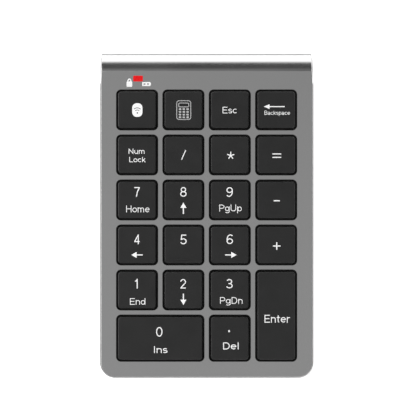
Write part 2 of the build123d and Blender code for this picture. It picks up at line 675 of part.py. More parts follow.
def indicator_lens():
    """Clear red window with a lip under the deck and a light pipe down to the lamp."""
    window = extrude(RectangleRounded(LENS_WIDTH, LENS_DEPTH, LENS_CORNER_RADIUS), SHEET)
    lip_size = (LENS_WIDTH + 2 * LENS_LIP_REACH, LENS_DEPTH + 2 * LENS_LIP_REACH)
    lip = extrude(RectangleRounded(*lip_size, LENS_LIP_CORNER_RADIUS), LENS_LIP_HEIGHT)
    pipe_x = (-LENS_PIPE_WIDTH / 2, LENS_PIPE_WIDTH / 2)
    pipe_y = (-LENS_PIPE_DEPTH / 2, LENS_PIPE_DEPTH / 2)
    pipe = block(pipe_x, pipe_y, (BOARD_TOP_Z + LAMP_HEIGHT + SINK + SHEET, -SINK))
    return Pos(LENS_X, LENS_Y, -SHEET) * (window + Pos(0, 0, -LENS_LIP_HEIGHT) * lip + pipe)


def case_screws():
    """Pan-head screws with a cross recess, all driven from below."""
    screws = []
    for x, y in SCREW_PLACES:
        head_z = SCREW_SEAT_Z - SCREW_HEAD_HEIGHT
        screw = post(x, y, SCREW_HEAD_RADIUS, head_z, SCREW_SEAT_Z)
        screw = fillet(screw.edges().filter_by(GeomType.CIRCLE).group_by(Axis.Z)[0], SCREW_HEAD_ROUND)
        screw += post(x, y, SCREW_SHANK_RADIUS, SCREW_SEAT_Z - TOUCH, SCREW_TIP_Z)
        for length, width in ((CROSS_LENGTH, CROSS_WIDTH), (CROSS_WIDTH, CROSS_LENGTH)):
            cross_x = (x - length / 2, x + length / 2)
            cross_y = (y - width / 2, y + width / 2)
            screw -= block(cross_x, cross_y, (head_z - PAST, head_z + CROSS_DEPTH))
        screws.append(screw)
    return screws


def save(name, shapes):
    """Write one node, as one shape or as a group of separate solids."""
    if isinstance(shapes, list):
        shapes = Compound(children=shapes)
    export_step(shapes, f"parts/{name}.step")


os.makedirs("parts", exist_ok=True)
case = outer_body()
save("top_cover", place(top_cover(case)))
save("bottom_shell", place(bottom_shell(case)))
save("rubber_feet", rubber_feet())
save("tube_end_plug", place(tube_end_plug()))
save("power_button", place(power_button()))
save("battery_cap", place(battery_cap()))
save("battery_cell", place(battery_cell()))
save("battery_contacts", [place(contact) for contact in battery_contacts()])
save("guide_frame", place(guide_frame()))
save("membrane", place(membrane()))
save("backing_plate", place(backing_plate()))
save("circuit_board", place(circuit_board()))
save("indicator_lens", place(indicator_lens()))
save("case_screws", [place(screw) for screw in case_screws()])

for name, turn in STABILISED:
    wire = Pos(0, WIRE_OFFSET, WIRE_PIVOT_Z) * stabiliser_wire()
    save(name.replace("key", "stabiliser"), place(on_key(wire, name, turn)))

turns = dict(STABILISED)
for name, *cell in KEYS:
    x, y, width, depth = window_box(*cell)
    clips = stabiliser_clips(turns[name]) if name in turns else []
    save(name, place(Pos(x, y, 0) * keycap(width, depth, clips)))
    save(name.replace("key", "dome"), place(Pos(x, y, 0) * dome()))
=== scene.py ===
import json
import math

import bmesh
import bpy
from mathutils import Matrix, Vector
from mathutils.geometry import delaunay_2d_cdt


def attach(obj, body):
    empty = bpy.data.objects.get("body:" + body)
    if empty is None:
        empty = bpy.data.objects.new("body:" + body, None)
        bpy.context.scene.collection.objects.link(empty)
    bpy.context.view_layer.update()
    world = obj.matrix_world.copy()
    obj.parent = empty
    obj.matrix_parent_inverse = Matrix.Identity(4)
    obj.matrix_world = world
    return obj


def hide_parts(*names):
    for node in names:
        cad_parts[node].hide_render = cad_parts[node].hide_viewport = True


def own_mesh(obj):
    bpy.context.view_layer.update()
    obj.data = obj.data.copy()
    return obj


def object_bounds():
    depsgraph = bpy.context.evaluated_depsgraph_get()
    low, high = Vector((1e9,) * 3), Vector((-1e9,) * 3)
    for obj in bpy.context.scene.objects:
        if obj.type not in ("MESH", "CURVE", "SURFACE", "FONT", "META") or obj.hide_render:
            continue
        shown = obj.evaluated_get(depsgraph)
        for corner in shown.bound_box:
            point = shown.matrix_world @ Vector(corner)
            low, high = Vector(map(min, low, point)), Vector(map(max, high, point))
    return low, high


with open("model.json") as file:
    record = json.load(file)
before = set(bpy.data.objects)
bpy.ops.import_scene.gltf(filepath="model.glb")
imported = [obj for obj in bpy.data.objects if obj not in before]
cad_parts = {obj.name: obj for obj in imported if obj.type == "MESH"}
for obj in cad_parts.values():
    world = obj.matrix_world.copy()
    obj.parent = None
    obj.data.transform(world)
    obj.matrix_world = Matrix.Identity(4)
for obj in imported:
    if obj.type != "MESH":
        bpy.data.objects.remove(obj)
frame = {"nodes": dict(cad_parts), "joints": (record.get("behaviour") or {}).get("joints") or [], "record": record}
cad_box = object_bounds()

# Looks of a slim numeric keypad: anodised deck, satin black keys with printed legends, moulded underside.
# Legends are drawn in millimetres on each key's face: X to the right, Y towards the rear.

MM = 0.001

# Print, in millimetres: how thick it is, how far it stands off the face, and the width of its strokes.
PRINT_THICKNESS = 0.02
PRINT_LIFT = 0.004
WORD_STROKE = 0.275
DIGIT_STROKE = 0.4
ICON_STROKE = 0.3

# Drawing: degrees between an arc's points, the gap in millimetres that still closes a line, the least number
# that a mitre divides half a line's width by, how close points weld, and how flat faces merge, in radians.
ARC_STEP = 12
CLOSED_GAP = 1e-6
MITRE_LIMIT = 0.4
WELD_GAP = 1e-5
FLAT_ANGLE = 0.01

# Proportions of the letters, as shares of a capital's height.
LETTER_STROKE = 0.115
X_HEIGHT = 0.73
EDGE = LETTER_STROKE / 2
CAP = 1 - EDGE

# Digits and cursor arrows, in millimetres.
DIGIT_HEIGHT = 4.0
DIGIT_WIDTH = 2.6
ONE_WIDTH = 1.3
POINTER_LENGTH = 4.7
POINTER_HEAD = 2.2
POINTER_SPREAD = 2.5
POINTER_SHAFT = 0.46

# Where the marks stand, from the middle of the indicator, in millimetres to the right and rearward.
LOCK_PLACE = (-3.55, -1.8)
BATTERY_PLACE = (3.42, -2.25)

# The raised bar on the 5 key, in millimetres: its size, and its place from the middle of the key's face.
BAR_LENGTH = 4.5
BAR_WIDTH = 0.56
BAR_CORNER = 0.26
BAR_THICKNESS = 0.35
BAR_SOFTNESS = 0.1
BAR_SINK = 0.05
BAR_RIGHT = -0.25
BAR_REAR = -5.9

# Domes: the points round them, and half their section as (share of the radius, share of the height),
# outside then inside.
DOME_TURNS = 48
DOME_PROFILE = [
    (0, 1), (0.5, 1), (0.54, 0.97), (0.54, 0.52), (0.6, 0.42), (0.8, 0.13), (0.85, 0.09), (0.98, 0.09),
    (1, 0.07), (1, 0), (0.76, 0), (0.5, 0.44), (0.46, 0.5), (0.46, 0.7), (0.23, 0.7), (0.23, 0.5), (0, 0.5),
]

# The circuit board, in millimetres: how far its tallest chip stands off it, and how thick it is.
CHIP_HEIGHT = 0.8
BOARD_THICKNESS = 0.8

# Where the cell's copper band starts and the bare steel after it, as shares of its length from the
# positive end, and how far each edge takes to change over.
BAND_SHARE = 0.27
BAND_EDGE = 0.005
BARE_SHARE = 0.03
BARE_EDGE = 0.002

# The view, in metres: a long lens over a point of the deck, given from the middle of its front edge. The
# sensor is in millimetres.
VIEW_WIDTH = 170.6 * MM
VIEW_DISTANCE = 0.9
LOOK_RIGHT = 0.37 * MM
LOOK_REARWARD = 69.9 * MM
SENSOR = 36.0
CLIP_START = 0.01
CLIP_END = 50.0

# The floor, and the light that it gives off near the object, dimmed there as a painted contact shadow, and past
# the distance where it stops growing.
FLOOR_RADIUS = 6.0
FLOOR_SIDES = 96
FLOOR_DROP = 0.02 * MM
FLOOR_GLOW_IN_PAINTED_SHADOW = 0.66
FLOOR_GLOW_FAR = 1.6
FLOOR_GLOW_START = 5 * MM
FLOOR_GLOW_END = 15 * MM

# The sky's brightness by degrees from the deck's normal, all round and towards the rear, and how far
# rearward a direction points where the first goes over into the second.
SKY_STRENGTH = 4.4
SKY_ROUND = [(0, 0.14), (12, 0.13), (40, 0.07), (76, 0.08), (86, 0.2), (180, 0.2)]
SKY_BEHIND = [(0, 0.14), (4, 0.125), (24, 0.02), (56, 0.02), (78, 0.65), (180, 0.6)]
SKY_TURN = (0.02, 0.2)

# The softboxes, in metres, then each one's name, degrees round from the front to the right, degrees up
# and watts.
SOFTBOX_SIZE = 0.9
SOFTBOX_DISTANCE = 1.2
SOFTBOXES = [
    ("left_softbox", -95, 42, 7.5),
    ("front_softbox", 20, 38, 3),
]

KEY_NAMES = [node[len("key_"):] for node in frame["nodes"] if node.startswith("key_")]
PRESS_AXIS = Vector(next(j["axis"] for j in frame["joints"] if j["name"] == "key_5_press"))
RIGHT = Vector((1, 0, 0))
NORMAL = -PRESS_AXIS
REARWARD = NORMAL.cross(RIGHT)


# ---------------------------------------------------------------- places on the deck


def deck_box(node):
    """A node's lowest and highest corners in the deck's own axes: right, rearward, out of the deck."""
    points = [v.co for v in frame["nodes"][node].data.vertices]
    low, high = [], []
    for axis in (RIGHT, REARWARD, NORMAL):
        along = [p.dot(axis) for p in points]
        low.append(min(along))
        high.append(max(along))
    return Vector(low), Vector(high)


def on_deck(right, rear, out):
    """A matrix that turns millimetres drawn on the deck, round the given point, into the frame."""
    origin = RIGHT * right + REARWARD * rear + NORMAL * out
    turn = Matrix((RIGHT, REARWARD, NORMAL)).transposed().to_4x4()
    return Matrix.Translation(origin) @ turn @ Matrix.Scale(MM, 4)


def deck_top():
    return max(v.co.dot(NORMAL) for v in frame["nodes"]["top_cover"].data.vertices)


# ---------------------------------------------------------------- flat print: strokes, arcs and shapes


def arc(x, y, across, up, start, end):
    """Points on an ellipse from one angle to another, in degrees."""
    steps = max(2, round(abs(end - start) / ARC_STEP))
    turns = [math.radians(start + (end - start) * n / steps) for n in range(steps + 1)]
    return [(x + across * math.cos(t), y + up * math.sin(t)) for t in turns]


def ellipse(x, y, across, up):
    return arc(x, y, across, up, 0, 360)[:-1]


def rectangle(x_low, x_high, y_low, y_high, corner=0.0):
    """A rectangle's outline, with round corners where a radius is given."""
    if not corner:
        return [(x_low, y_low), (x_high, y_low), (x_high, y_high), (x_low, y_high)]
    right, left = x_high - corner, x_low + corner
    top, foot = y_high - corner, y_low + corner
    points = arc(right, top, corner, corner, 0, 90) + arc(left, top, corner, corner, 90, 180)
    return points + arc(left, foot, corner, corner, 180, 270) + arc(right, foot, corner, corner, 270, 360)


def ribbon(points, width):
    """Quads that cover a line of the given width, mitred where it bends and square at its ends."""
    points = [Vector(p) for p in points]
    closed = (points[0] - points[-1]).length < CLOSED_GAP
    sides = []
    for n, point in enumerate(points):
        before = points[n - 1] if n else (points[-2] if closed else None)
        after = points[n + 1] if n + 1 < len(points) else (points[1] if closed else None)
        into = (point - before).normalized() if before is not None else (after - point).normalized()
        out = (after - point).normalized() if after is not None else into
        across = Vector((-(into + out).y, (into + out).x)).normalized()
        reach = width / 2 / max(MITRE_LIMIT, across.dot(Vector((-into.y, into.x))))
        sides.append((point + across * reach, point - across * reach))
    return [
        [sides[n][1], sides[n + 1][1], sides[n + 1][0], sides[n][0]]
        for n in range(len(sides) - 1)
    ]


def moved(shapes, scale_x=1.0, scale_y=1.0, x=0.0, y=0.0):
    return [[(p[0] * scale_x + x, p[1] * scale_y + y) for p in shape] for shape in shapes]


def print_mesh(name, solid, cut=(), thickness=PRINT_THICKNESS):
    """One closed mesh of the area that the solid shapes cover and the cut shapes don't."""
    points, faces = [], []
    for shape in list(solid) + list(cut):
        faces.append(list(range(len(points), len(points) + len(shape))))
        points += [Vector(p) for p in shape]
    flat = delaunay_2d_cdt(points, [], faces, 1, WELD_GAP)
    corners, triangles, sources = flat[0], flat[2], flat[5]
    mesh = bmesh.new()
    placed = [mesh.verts.new((p.x, p.y, 0)) for p in corners]
    for triangle, source in zip(triangles, sources):
        if source and min(source) < len(solid) and max(source) < len(solid):
            mesh.faces.new([placed[n] for n in triangle])
    bmesh.ops.delete(mesh, geom=[v for v in mesh.verts if not v.link_faces], context="VERTS")
    bmesh.ops.dissolve_limit(mesh, angle_limit=FLAT_ANGLE, verts=mesh.verts, edges=mesh.edges)
    raised = bmesh.ops.extrude_face_region(mesh, geom=mesh.faces[:])
    top = [item for item in raised["geom"] if isinstance(item, bmesh.types.BMVert)]
    bmesh.ops.translate(mesh, vec=(0, 0, thickness), verts=top)
    bmesh.ops.recalc_face_normals(mesh, faces=mesh.faces)
    data = bpy.data.meshes.new(name)
    mesh.to_mesh(data)
    mesh.free()
    return data


# ---------------------------------------------------------------- legends: a plain sans drawn with one stroke


def letter_strokes():
    """Each character's strokes on a capital height of 1, with the width that it takes up."""
    stem = [(0.1, 0), (0.1, 1)]
    short_stem = [(0.1, 0), (0.1, X_HEIGHT)]
    six = [
        arc(0.37, 0.5, 0.29, CAP - 0.5, 50, 180) + [(0.08, 0.3)],
        arc(0.315, 0.3, 0.235, 0.3 - EDGE, 0, 360),
    ]
    nine = [[(0.63 - x, 1 - y) for x, y in stroke] for stroke in six]
    arch = arc(0.3, 0.455, 0.2, 0.2, 180, 0)
    return {
        "0": (0.64, [arc(0.32, 0.5, 0.235, CAP - 0.5, 0, 360)]),
        "1": (0.5, [[(0.36, 0), (0.36, 1)], [(0.1, 0.76), (0.24, 0.78), (0.34, 0.9)]]),
        "2": (0.64, [arc(0.315, 0.68, 0.23, 0.245, 172, -28) + [(0.1, 0.1)], [(0.05, EDGE), (0.58, EDGE)]]),
        "3": (0.64, [
            arc(0.3, 0.715, 0.195, 0.21, 160, -90),
            arc(0.3, 0.29, 0.235, 0.215, 90, -160),
            [(0.22, 0.505), (0.32, 0.505)],
        ]),
        "4": (0.66, [
            [(0.46, 0), (0.46, 1)],
            [(0.47, 0.97), (0.07, 0.3)],
            [(0.02, 0.27), (0.63, 0.27)],
        ]),
        "5": (0.64, [
            [(0.56, CAP), (0.14, CAP)],
            [(0.17, 0.99), (0.11, 0.46)],
            arc(0.31, 0.31, 0.245, 0.31 - EDGE, 140, -158),
        ]),
        "6": (0.64, six),
        "7": (0.62, [[(0.04, CAP), (0.58, CAP)], [(0.555, 0.92), (0.36, 0.52), (0.25, 0)]]),
        "8": (0.64, [
            arc(0.315, 0.725, 0.19, CAP - 0.725, 0, 360),
            arc(0.315, 0.29, 0.235, 0.29 - EDGE, 0, 360),
        ]),
        "9": (0.64, nine),
        "B": (0.7, [
            stem,
            [(0.1, CAP), (0.36, CAP)] + arc(0.38, 0.715, 0.2, 0.21, 90, -90) + [(0.1, 0.505)],
            [(0.1, 0.505), (0.38, 0.505)] + arc(0.4, 0.29, 0.21, 0.215, 90, -90) + [(0.1, EDGE)],
        ]),
        "D": (0.74, [
            stem,
            [(0.1, CAP), (0.32, CAP)] + arc(0.34, 0.5, 0.3, CAP - 0.5, 90, -90) + [(0.1, EDGE)],
        ]),
        "E": (0.66, [
            stem,
            [(0.1, CAP), (0.6, CAP)],
            [(0.1, 0.52), (0.56, 0.52)],
            [(0.1, EDGE), (0.62, EDGE)],
        ]),
        "H": (0.76, [stem, [(0.64, 0), (0.64, 1)], [(0.1, 0.52), (0.64, 0.52)]]),
        "I": (0.28, [[(0.14, 0), (0.14, 1)]]),
        "L": (0.6, [stem, [(0.1, EDGE), (0.56, EDGE)]]),
        "N": (0.76, [stem, [(0.64, 0), (0.64, 1)], [(0.1, 0.94), (0.64, 0.06)]]),
        "P": (0.68, [
            stem,
            [(0.1, CAP), (0.36, CAP)] + arc(0.38, 0.685, 0.22, 0.24, 90, -90) + [(0.1, 0.445)],
        ]),
        "U": (0.76, [[(0.1, 1)] + arc(0.37, 0.345, 0.27, 0.27, 180, 360) + [(0.64, 1)]]),
        "a": (0.6, [
            arc(0.28, 0.5, 0.2, 0.16, 165, 0) + [(0.48, 0)],
            arc(0.27, 0.215, 0.19, 0.14, 0, 360),
        ]),
        "c": (0.56, [arc(0.3, 0.365, 0.225, 0.29, 48, 312)]),
        "d": (0.62, [arc(0.28, 0.365, 0.205, 0.29, 0, 360), [(0.51, 0), (0.51, 1)]]),
        "e": (0.6, [arc(0.3, 0.365, 0.225, 0.29, 0, 318), [(0.1, 0.375), (0.5, 0.375)]]),
        "g": (0.62, [
            arc(0.28, 0.38, 0.205, 0.275, 0, 360),
            [(0.51, X_HEIGHT), (0.51, -0.04)] + arc(0.29, -0.04, 0.22, 0.15, -12, -155),
        ]),
        "k": (0.56, [stem, [(0.12, 0.26), (0.47, X_HEIGHT)], [(0.23, 0.4), (0.5, 0)]]),
        "l": (0.26, [[(0.13, 0), (0.13, 1)]]),
        "m": (0.9, [
            short_stem,
            arc(0.265, 0.47, 0.165, 0.185, 180, 0) + [(0.43, 0)],
            arc(0.595, 0.47, 0.165, 0.185, 180, 0) + [(0.76, 0)],
        ]),
        "n": (0.6, [short_stem, arch + [(0.5, 0)]]),
        "o": (0.6, [arc(0.3, 0.365, 0.23, 0.29, 0, 360)]),
        "p": (0.62, [[(0.1, -0.26), (0.1, X_HEIGHT)], arc(0.33, 0.365, 0.205, 0.29, 0, 360)]),
        "r": (0.42, [short_stem, arc(0.32, 0.44, 0.22, 0.215, 180, 75)]),
        "s": (0.52, [
            arc(0.26, 0.515, 0.165, 0.145, 28, 270),
            arc(0.26, 0.22, 0.18, 0.15, 90, -152),
        ]),
        "t": (0.42, [[(0.19, 0.94)] + arc(0.29, 0.18, 0.1, 0.11, 180, 275), [(0.04, 0.655), (0.38, 0.655)]]),
        "u": (0.6, [[(0.1, X_HEIGHT)] + arc(0.3, 0.27, 0.2, 0.2, 180, 360), [(0.5, 0), (0.5, X_HEIGHT)]]),
    }


LETTERS = letter_strokes()


def text(words, left, baseline, height, width, weight=WORD_STROKE):
    """A word of a given capital height, spaced out to a given width and drawn with an even stroke."""
    strokes, pen = [], 0.0
    for letter in words:
        advance, drawn = LETTERS[letter]
        strokes += moved(drawn, x=pen)
        pen += advance
    low = min(p[0] for stroke in strokes for p in stroke)
    high = max(p[0] for stroke in strokes for p in stroke)
    stretch = (width - weight) / (high - low)
    placed = moved(strokes, stretch, height, left + weight / 2 - low * stretch, baseline)
    return [quad for stroke in placed for quad in ribbon(stroke, weight)]


# ---------------------------------------------------------------- legends: arrows, signs and icons


def arrow(x, y, length, head, spread, shaft, turn):
    """A straight arrow centred on a point, pointing right before it is turned by some degrees."""
    half = length / 2
    tip = [(half, 0), (half - head, spread / 2), (half - head, -spread / 2)]
    bar = rectangle(-half, half - head * 0.9, -shaft / 2, shaft / 2)
    c, s = math.cos(math.radians(turn)), math.sin(math.radians(turn))
    return [[(x + px * c - py * s, y + px * s + py * c) for px, py in shape] for shape in (tip, bar)]


def star(x, y, radius, width):
    """Five spokes of an asterisk, one pointing up."""
    shapes = []
    for spoke in range(5):
        angle = math.radians(90 + spoke * 72)
        shapes += ribbon([(x, y), (x + radius * math.cos(angle), y + radius * math.sin(angle))], width)
    return shapes


def wireless_icon():
    """A white oval with a small dot and two radio arcs left dark in it."""
    x, y = 0.16, -0.12
    solid = [rectangle(x - 2.1, x + 2.1, y - 2.8, y + 2.8, 1.85)]
    cut = [ellipse(x, y - 1.2, 0.3, 0.3)]
    for radius in (1.2, 2.1):
        cut += ribbon(arc(x, y - 1.2, radius, radius, 48, 132), 0.26)
    return solid, cut


def calculator_icon():
    """A pocket calculator in outline: display and three columns of small keys."""
    solid = ribbon(rectangle(-2.72, 3.03, -4.0, 3.7, 1.0) + [(3.03, 2.7)], ICON_STROKE)
    solid += ribbon(rectangle(-1.92, 2.23, 1.15, 2.75, 0.45) + [(2.23, 2.3)], ICON_STROKE)
    for column in range(3):
        for row in range(4):
            x, y = 0.18 + (column - 1) * 1.55, 0.25 - row * 1.12
            solid.append(rectangle(x - 0.5, x + 0.5, y - 0.36, y + 0.36, 0.2))
    return solid, []


def digit(character, centre, baseline=0.4):
    """A large digit, centred between left and right on a given place."""
    width = ONE_WIDTH if character == "1" else DIGIT_WIDTH
    return text(character, centre - width / 2, baseline, DIGIT_HEIGHT, width, DIGIT_STROKE)


def pointer(x, y, turn):
    """A cursor arrow, turned by some degrees from pointing right."""
    return arrow(x, y, POINTER_LENGTH, POINTER_HEAD, POINTER_SPREAD, POINTER_SHAFT, turn)


def key_legends():
    """What is printed on each key: (shapes that are printed, shapes that are left out of them)."""
    backspace = arrow(-0.86, 1.28, 8.6, 2.4, 1.9, 0.4, 180) + text("Backspace", -4.84, -2.1, 1.7, 10.5, 0.175)
    num_lock = text("Num", -3.4, 0.4, 2.15, 6.5) + text("Lock", -3.12, -3.0, 2.15, 6.7)
    printed = {
        "escape": text("Esc", -2.95, -1.5, 2.7, 5.8),
        "backspace": backspace,
        "num_lock": num_lock,
        "divide": ribbon([(-0.72, -1.95), (0.95, 1.95)], 0.35),
        "multiply": star(0.38, -0.3, 1.55, 0.42),
        "equals": [rectangle(-1.6, 2.05, 0.16, 0.58), rectangle(-1.6, 2.05, -1.24, -0.82)],
        "7": digit("7", 0.0, 1.3) + text("Home", -4.4, -5.1, 2.8, 9.6),
        "8": digit("8", 0.0, 1.3) + pointer(0.0, -3.4, 90),
        "9": digit("9", -0.1, 1.25) + text("PgUp", -4.3, -4.7, 2.8, 9.2),
        "minus": [rectangle(-1.05, 1.45, -0.56, -0.1)],
        "4": digit("4", 0.05, 0.35) + pointer(0.02, -4.05, 180),
        "5": digit("5", 0.05, 0.3),
        "6": digit("6", 0.0) + pointer(0.42, -4.05, 0),
        "plus": [rectangle(-1.35, 1.75, -0.62, -0.16), rectangle(-0.03, 0.43, -1.93, 1.17)],
        "1": digit("1", -0.35, 0.65) + text("End", -2.85, -6.0, 2.7, 6.3),
        "2": digit("2", -0.1, 0.65) + pointer(0.0, -3.75, 270),
        "3": digit("3", -0.15, 0.65) + text("PgDn", -4.0, -5.6, 2.75, 9.2),
        "enter": text("Enter", -4.81, -2.8, 3.2, 10.6, 0.34),
        "0": digit("0", -0.35, 0.7) + text("Ins", -2.5, -6.0, 2.8, 5.5, 0.34),
        "decimal": [ellipse(-0.3, 3.0, 0.4, 0.4)] + text("Del", -2.75, -4.5, 2.85, 6.35, 0.36),
    }
    legends = {name: (shapes, []) for name, shapes in printed.items()}
    legends["wireless"] = wireless_icon()
    legends["calculator"] = calculator_icon()
    return legends


def padlock_mark():
    """A small padlock: a rounded body with its shackle."""
    solid = [rectangle(-1.15, 1.15, -1.6, 0.6, 0.25)]
    solid += ribbon([(-0.58, 0.5)] + arc(0, 0.85, 0.58, 0.74, 180, 0) + [(0.58, 0.5)], 0.46)
    return solid, []


def battery_mark():
    """A small battery lying down, with two dark cells."""
    solid = [rectangle(-1.7, 1.7, -0.82, 0.82, 0.18), rectangle(1.6, 1.9, -0.4, 0.4)]
    return solid, [rectangle(-1.15, -0.35, -0.3, 0.3), rectangle(0.4, 1.05, -0.3, 0.3)]


# ---------------------------------------------------------------- finishes


class Finish:
    """A material whose colour, roughness and relief vary over the surface. Sizes are in millimetres."""

    def __init__(self, name, metallic=0.0, **sockets):
        self.material = bpy.data.materials.new(name)
        self.material.use_nodes = True
        self.tree = self.material.node_tree
        self.shader = self.tree.nodes["Principled BSDF"]
        self.shader.inputs["Metallic"].default_value = metallic
        for socket, value in sockets.items():
            self.shader.inputs[socket.replace("_", " ")].default_value = value
        self.place = self.add("ShaderNodeTexCoord").outputs["Object"]

    def add(self, kind, **settings):
        node = self.tree.nodes.new(kind)
        for setting, value in settings.items():
            setattr(node, setting, value)
        return node

    def link(self, value, socket):
        self.tree.links.new(value, socket)

    def noise(self, size, detail=2.0, stretch=(1, 1, 1)):
        """Soft blobs about as wide as the given size, drawn out along an axis by a stretch above 1."""
        mapping = self.add("ShaderNodeMapping")
        mapping.inputs["Scale"].default_value = [1 / (size * MM * s) for s in stretch]
        self.link(self.place, mapping.inputs["Vector"])
        noise = self.add("ShaderNodeTexNoise")
        noise.inputs["Scale"].default_value = 1.0
        noise.inputs["Detail"].default_value = detail
        self.link(mapping.outputs["Vector"], noise.inputs["Vector"])
        return noise.outputs["Fac"]

    def cells(self, size):
        """The rounded cells of a spark-eroded mould face."""
        cells = self.add("ShaderNodeTexVoronoi", feature="SMOOTH_F1")
        cells.inputs["Scale"].default_value = 1 / (size * MM)
        self.link(self.place, cells.inputs["Vector"])
        return cells.outputs["Distance"]

    def along(self, axis):
        """How far a point lies along an axis, in metres."""
        dot = self.add("ShaderNodeVectorMath", operation="DOT_PRODUCT")
        dot.inputs[1].default_value = axis
        self.link(self.place, dot.inputs[0])
        return dot.outputs["Value"]

    def reach(self, value, low, high, start=0.3, end=0.7):
        """A number that goes from low to high as the value goes from start to end."""
        spread = self.add("ShaderNodeMapRange")
        for socket, number in zip(("From Min", "From Max", "To Min", "To Max"), (start, end, low, high)):
            spread.inputs[socket].default_value = number
        self.link(value, spread.inputs["Value"])
        return spread.outputs["Result"]

    def blend(self, value, dark, light):
        """A colour between two, by a value from 0 to 1. Either colour may be another blend's output."""
        mix = self.add("ShaderNodeMix", data_type="RGBA")
        for socket, colour in ((mix.inputs[6], dark), (mix.inputs[7], light)):
            if isinstance(colour, bpy.types.NodeSocket):
                self.link(colour, socket)
            else:
                socket.default_value = (*colour, 1)
        self.link(value, mix.inputs[0])
        return mix.outputs[2]

    def colour(self, value):
        self.link(value, self.shader.inputs["Base Color"])

    def roughness(self, value):
        self.link(value, self.shader.inputs["Roughness"])

    def relief(self, *layers):
        """Bumps of the given depths in millimetres, one layer over another."""
        normal = None
        for height, depth in layers:
            bump = self.add("ShaderNodeBump")
            bump.inputs["Distance"].default_value = depth * MM
            self.link(height, bump.inputs["Height"])
            if normal is not None:
                self.link(normal, bump.inputs["Normal"])
            normal = bump.outputs["Normal"]
        self.link(normal, self.shader.inputs["Normal"])

    def cloudy(self, dark, light, patch, rough, grain, depth, detail=2.0, stretch=(1, 1, 1)):
        """The common case: slow patches of colour and gloss over a fine grain."""
        patches = self.noise(patch, detail=3.0)
        fine = self.noise(grain, detail=detail, stretch=stretch)
        tone = self.blend(self.reach(fine, 0.0, 1.0), dark, light)
        self.colour(self.blend(self.reach(patches, 0.0, 0.5), tone, light))
        self.roughness(self.reach(patches, *rough))
        self.relief((fine, depth))
        return self


def grey(level):
    """A neutral colour."""
    return (level, level, level)


def anodised_aluminium(name, level, stretch=(1, 1, 1)):
    """Bead-blasted, anodised sheet: a fine frosted grain that breaks up its reflections."""
    metal = Finish(name, metallic=1.0)
    return metal.cloudy(grey(level * 0.93), grey(level * 1.05), 22, (0.24, 0.27), 0.16, 0.0010, 3.0, stretch)


def key_plastic():
    """Satin black keys with a very fine spark-eroded grain and faint handling marks in their gloss."""
    plastic = Finish("key_plastic_satin", Specular_IOR_Level=0.42)
    marks = plastic.noise(7, detail=4.0)
    grain = plastic.cells(0.14)
    fine = plastic.noise(0.05)
    plastic.colour(plastic.blend(plastic.reach(marks, 0, 1), grey(0.0094), grey(0.0119)))
    plastic.roughness(plastic.reach(marks, 0.44, 0.54))
    plastic.relief((grain, 0.0035), (fine, 0.0012))
    return plastic


def moulded_plastic(name, level, grain, depth, rough):
    """Moulded plastic with the cells of a spark-eroded tool."""
    plastic = Finish(name)
    patches = plastic.noise(18, detail=3.0)
    cells = plastic.cells(grain)
    fine = plastic.noise(grain / 3)
    plastic.colour(plastic.blend(plastic.reach(patches, 0, 1), grey(level * 0.88), grey(level * 1.12)))
    plastic.roughness(plastic.reach(fine, *rough))
    plastic.relief((cells, depth), (fine, depth / 3))
    return plastic


def foot_rubber():
    """Matt rubber with a dusty bloom in patches."""
    rubber = Finish("foot_rubber_matt", Specular_IOR_Level=0.3)
    bloom = rubber.noise(2.5, detail=5.0)
    fine = rubber.noise(0.12)
    rubber.colour(rubber.blend(rubber.reach(bloom, 0, 1, 0.4, 0.75), grey(0.012), grey(0.032)))
    rubber.roughness(rubber.reach(bloom, 0.72, 0.88))
    rubber.relief((fine, 0.008))
    return rubber


def dome_silicone():
    """Milky translucent silicone."""
    silicone = Finish("dome_silicone_milky", Subsurface_Weight=0.25, Subsurface_Scale=0.001, IOR=1.41)
    return silicone.cloudy((0.58, 0.6, 0.6), (0.7, 0.72, 0.71), 3, (0.38, 0.5), 0.2, 0.004)


def membrane_film():
    """Polyester film, with the printed silver tracks that show as paler lines."""
    film = Finish("membrane_film_printed")
    wave = film.add("ShaderNodeTexWave", bands_direction="X")
    wave.inputs["Scale"].default_value = 1 / (6.4 * MM)
    wave.inputs["Distortion"].default_value = 3.0
    wave.inputs["Detail Scale"].default_value = 0.4
    film.link(film.place, wave.inputs["Vector"])
    tracks = film.reach(wave.outputs["Fac"], 0, 1, 0.86, 0.92)
    cloud = film.noise(12)
    body = film.blend(film.reach(cloud, 0, 1), (0.36, 0.4, 0.37), (0.45, 0.48, 0.44))
    film.colour(film.blend(tracks, body, (0.62, 0.62, 0.6)))
    film.roughness(film.reach(cloud, 0.2, 0.32))
    film.relief((tracks, 0.02))
    return film


def board_laminate():
    """Green laminate with paler tracks; what stands off its two faces is a black component."""
    board = Finish("board_laminate_populated")
    surface = deck_box("circuit_board")[1].z - CHIP_HEIGHT * MM
    underside = surface - BOARD_THICKNESS * MM
    height = board.along(NORMAL)
    above = board.reach(height, 0, 1, surface, surface + 0.02 * MM)
    below = board.reach(height, 1, 0, underside - 0.04 * MM, underside - 0.02 * MM)
    wave = board.add("ShaderNodeTexWave", bands_direction="DIAGONAL")
    wave.inputs["Scale"].default_value = 1 / (3.1 * MM)
    wave.inputs["Distortion"].default_value = 4.0
    board.link(board.place, wave.inputs["Vector"])
    tracks = board.reach(wave.outputs["Fac"], 0, 1, 0.7, 0.8)
    mask = board.blend(tracks, (0.006, 0.06, 0.022), (0.012, 0.12, 0.045))
    parts = board.blend(above, mask, (0.018, 0.018, 0.02))
    board.colour(board.blend(below, parts, (0.03, 0.03, 0.032)))
    board.roughness(board.reach(board.noise(0.8), 0.28, 0.42))
    board.relief((tracks, 0.03), (board.noise(0.2), 0.006))
    return board


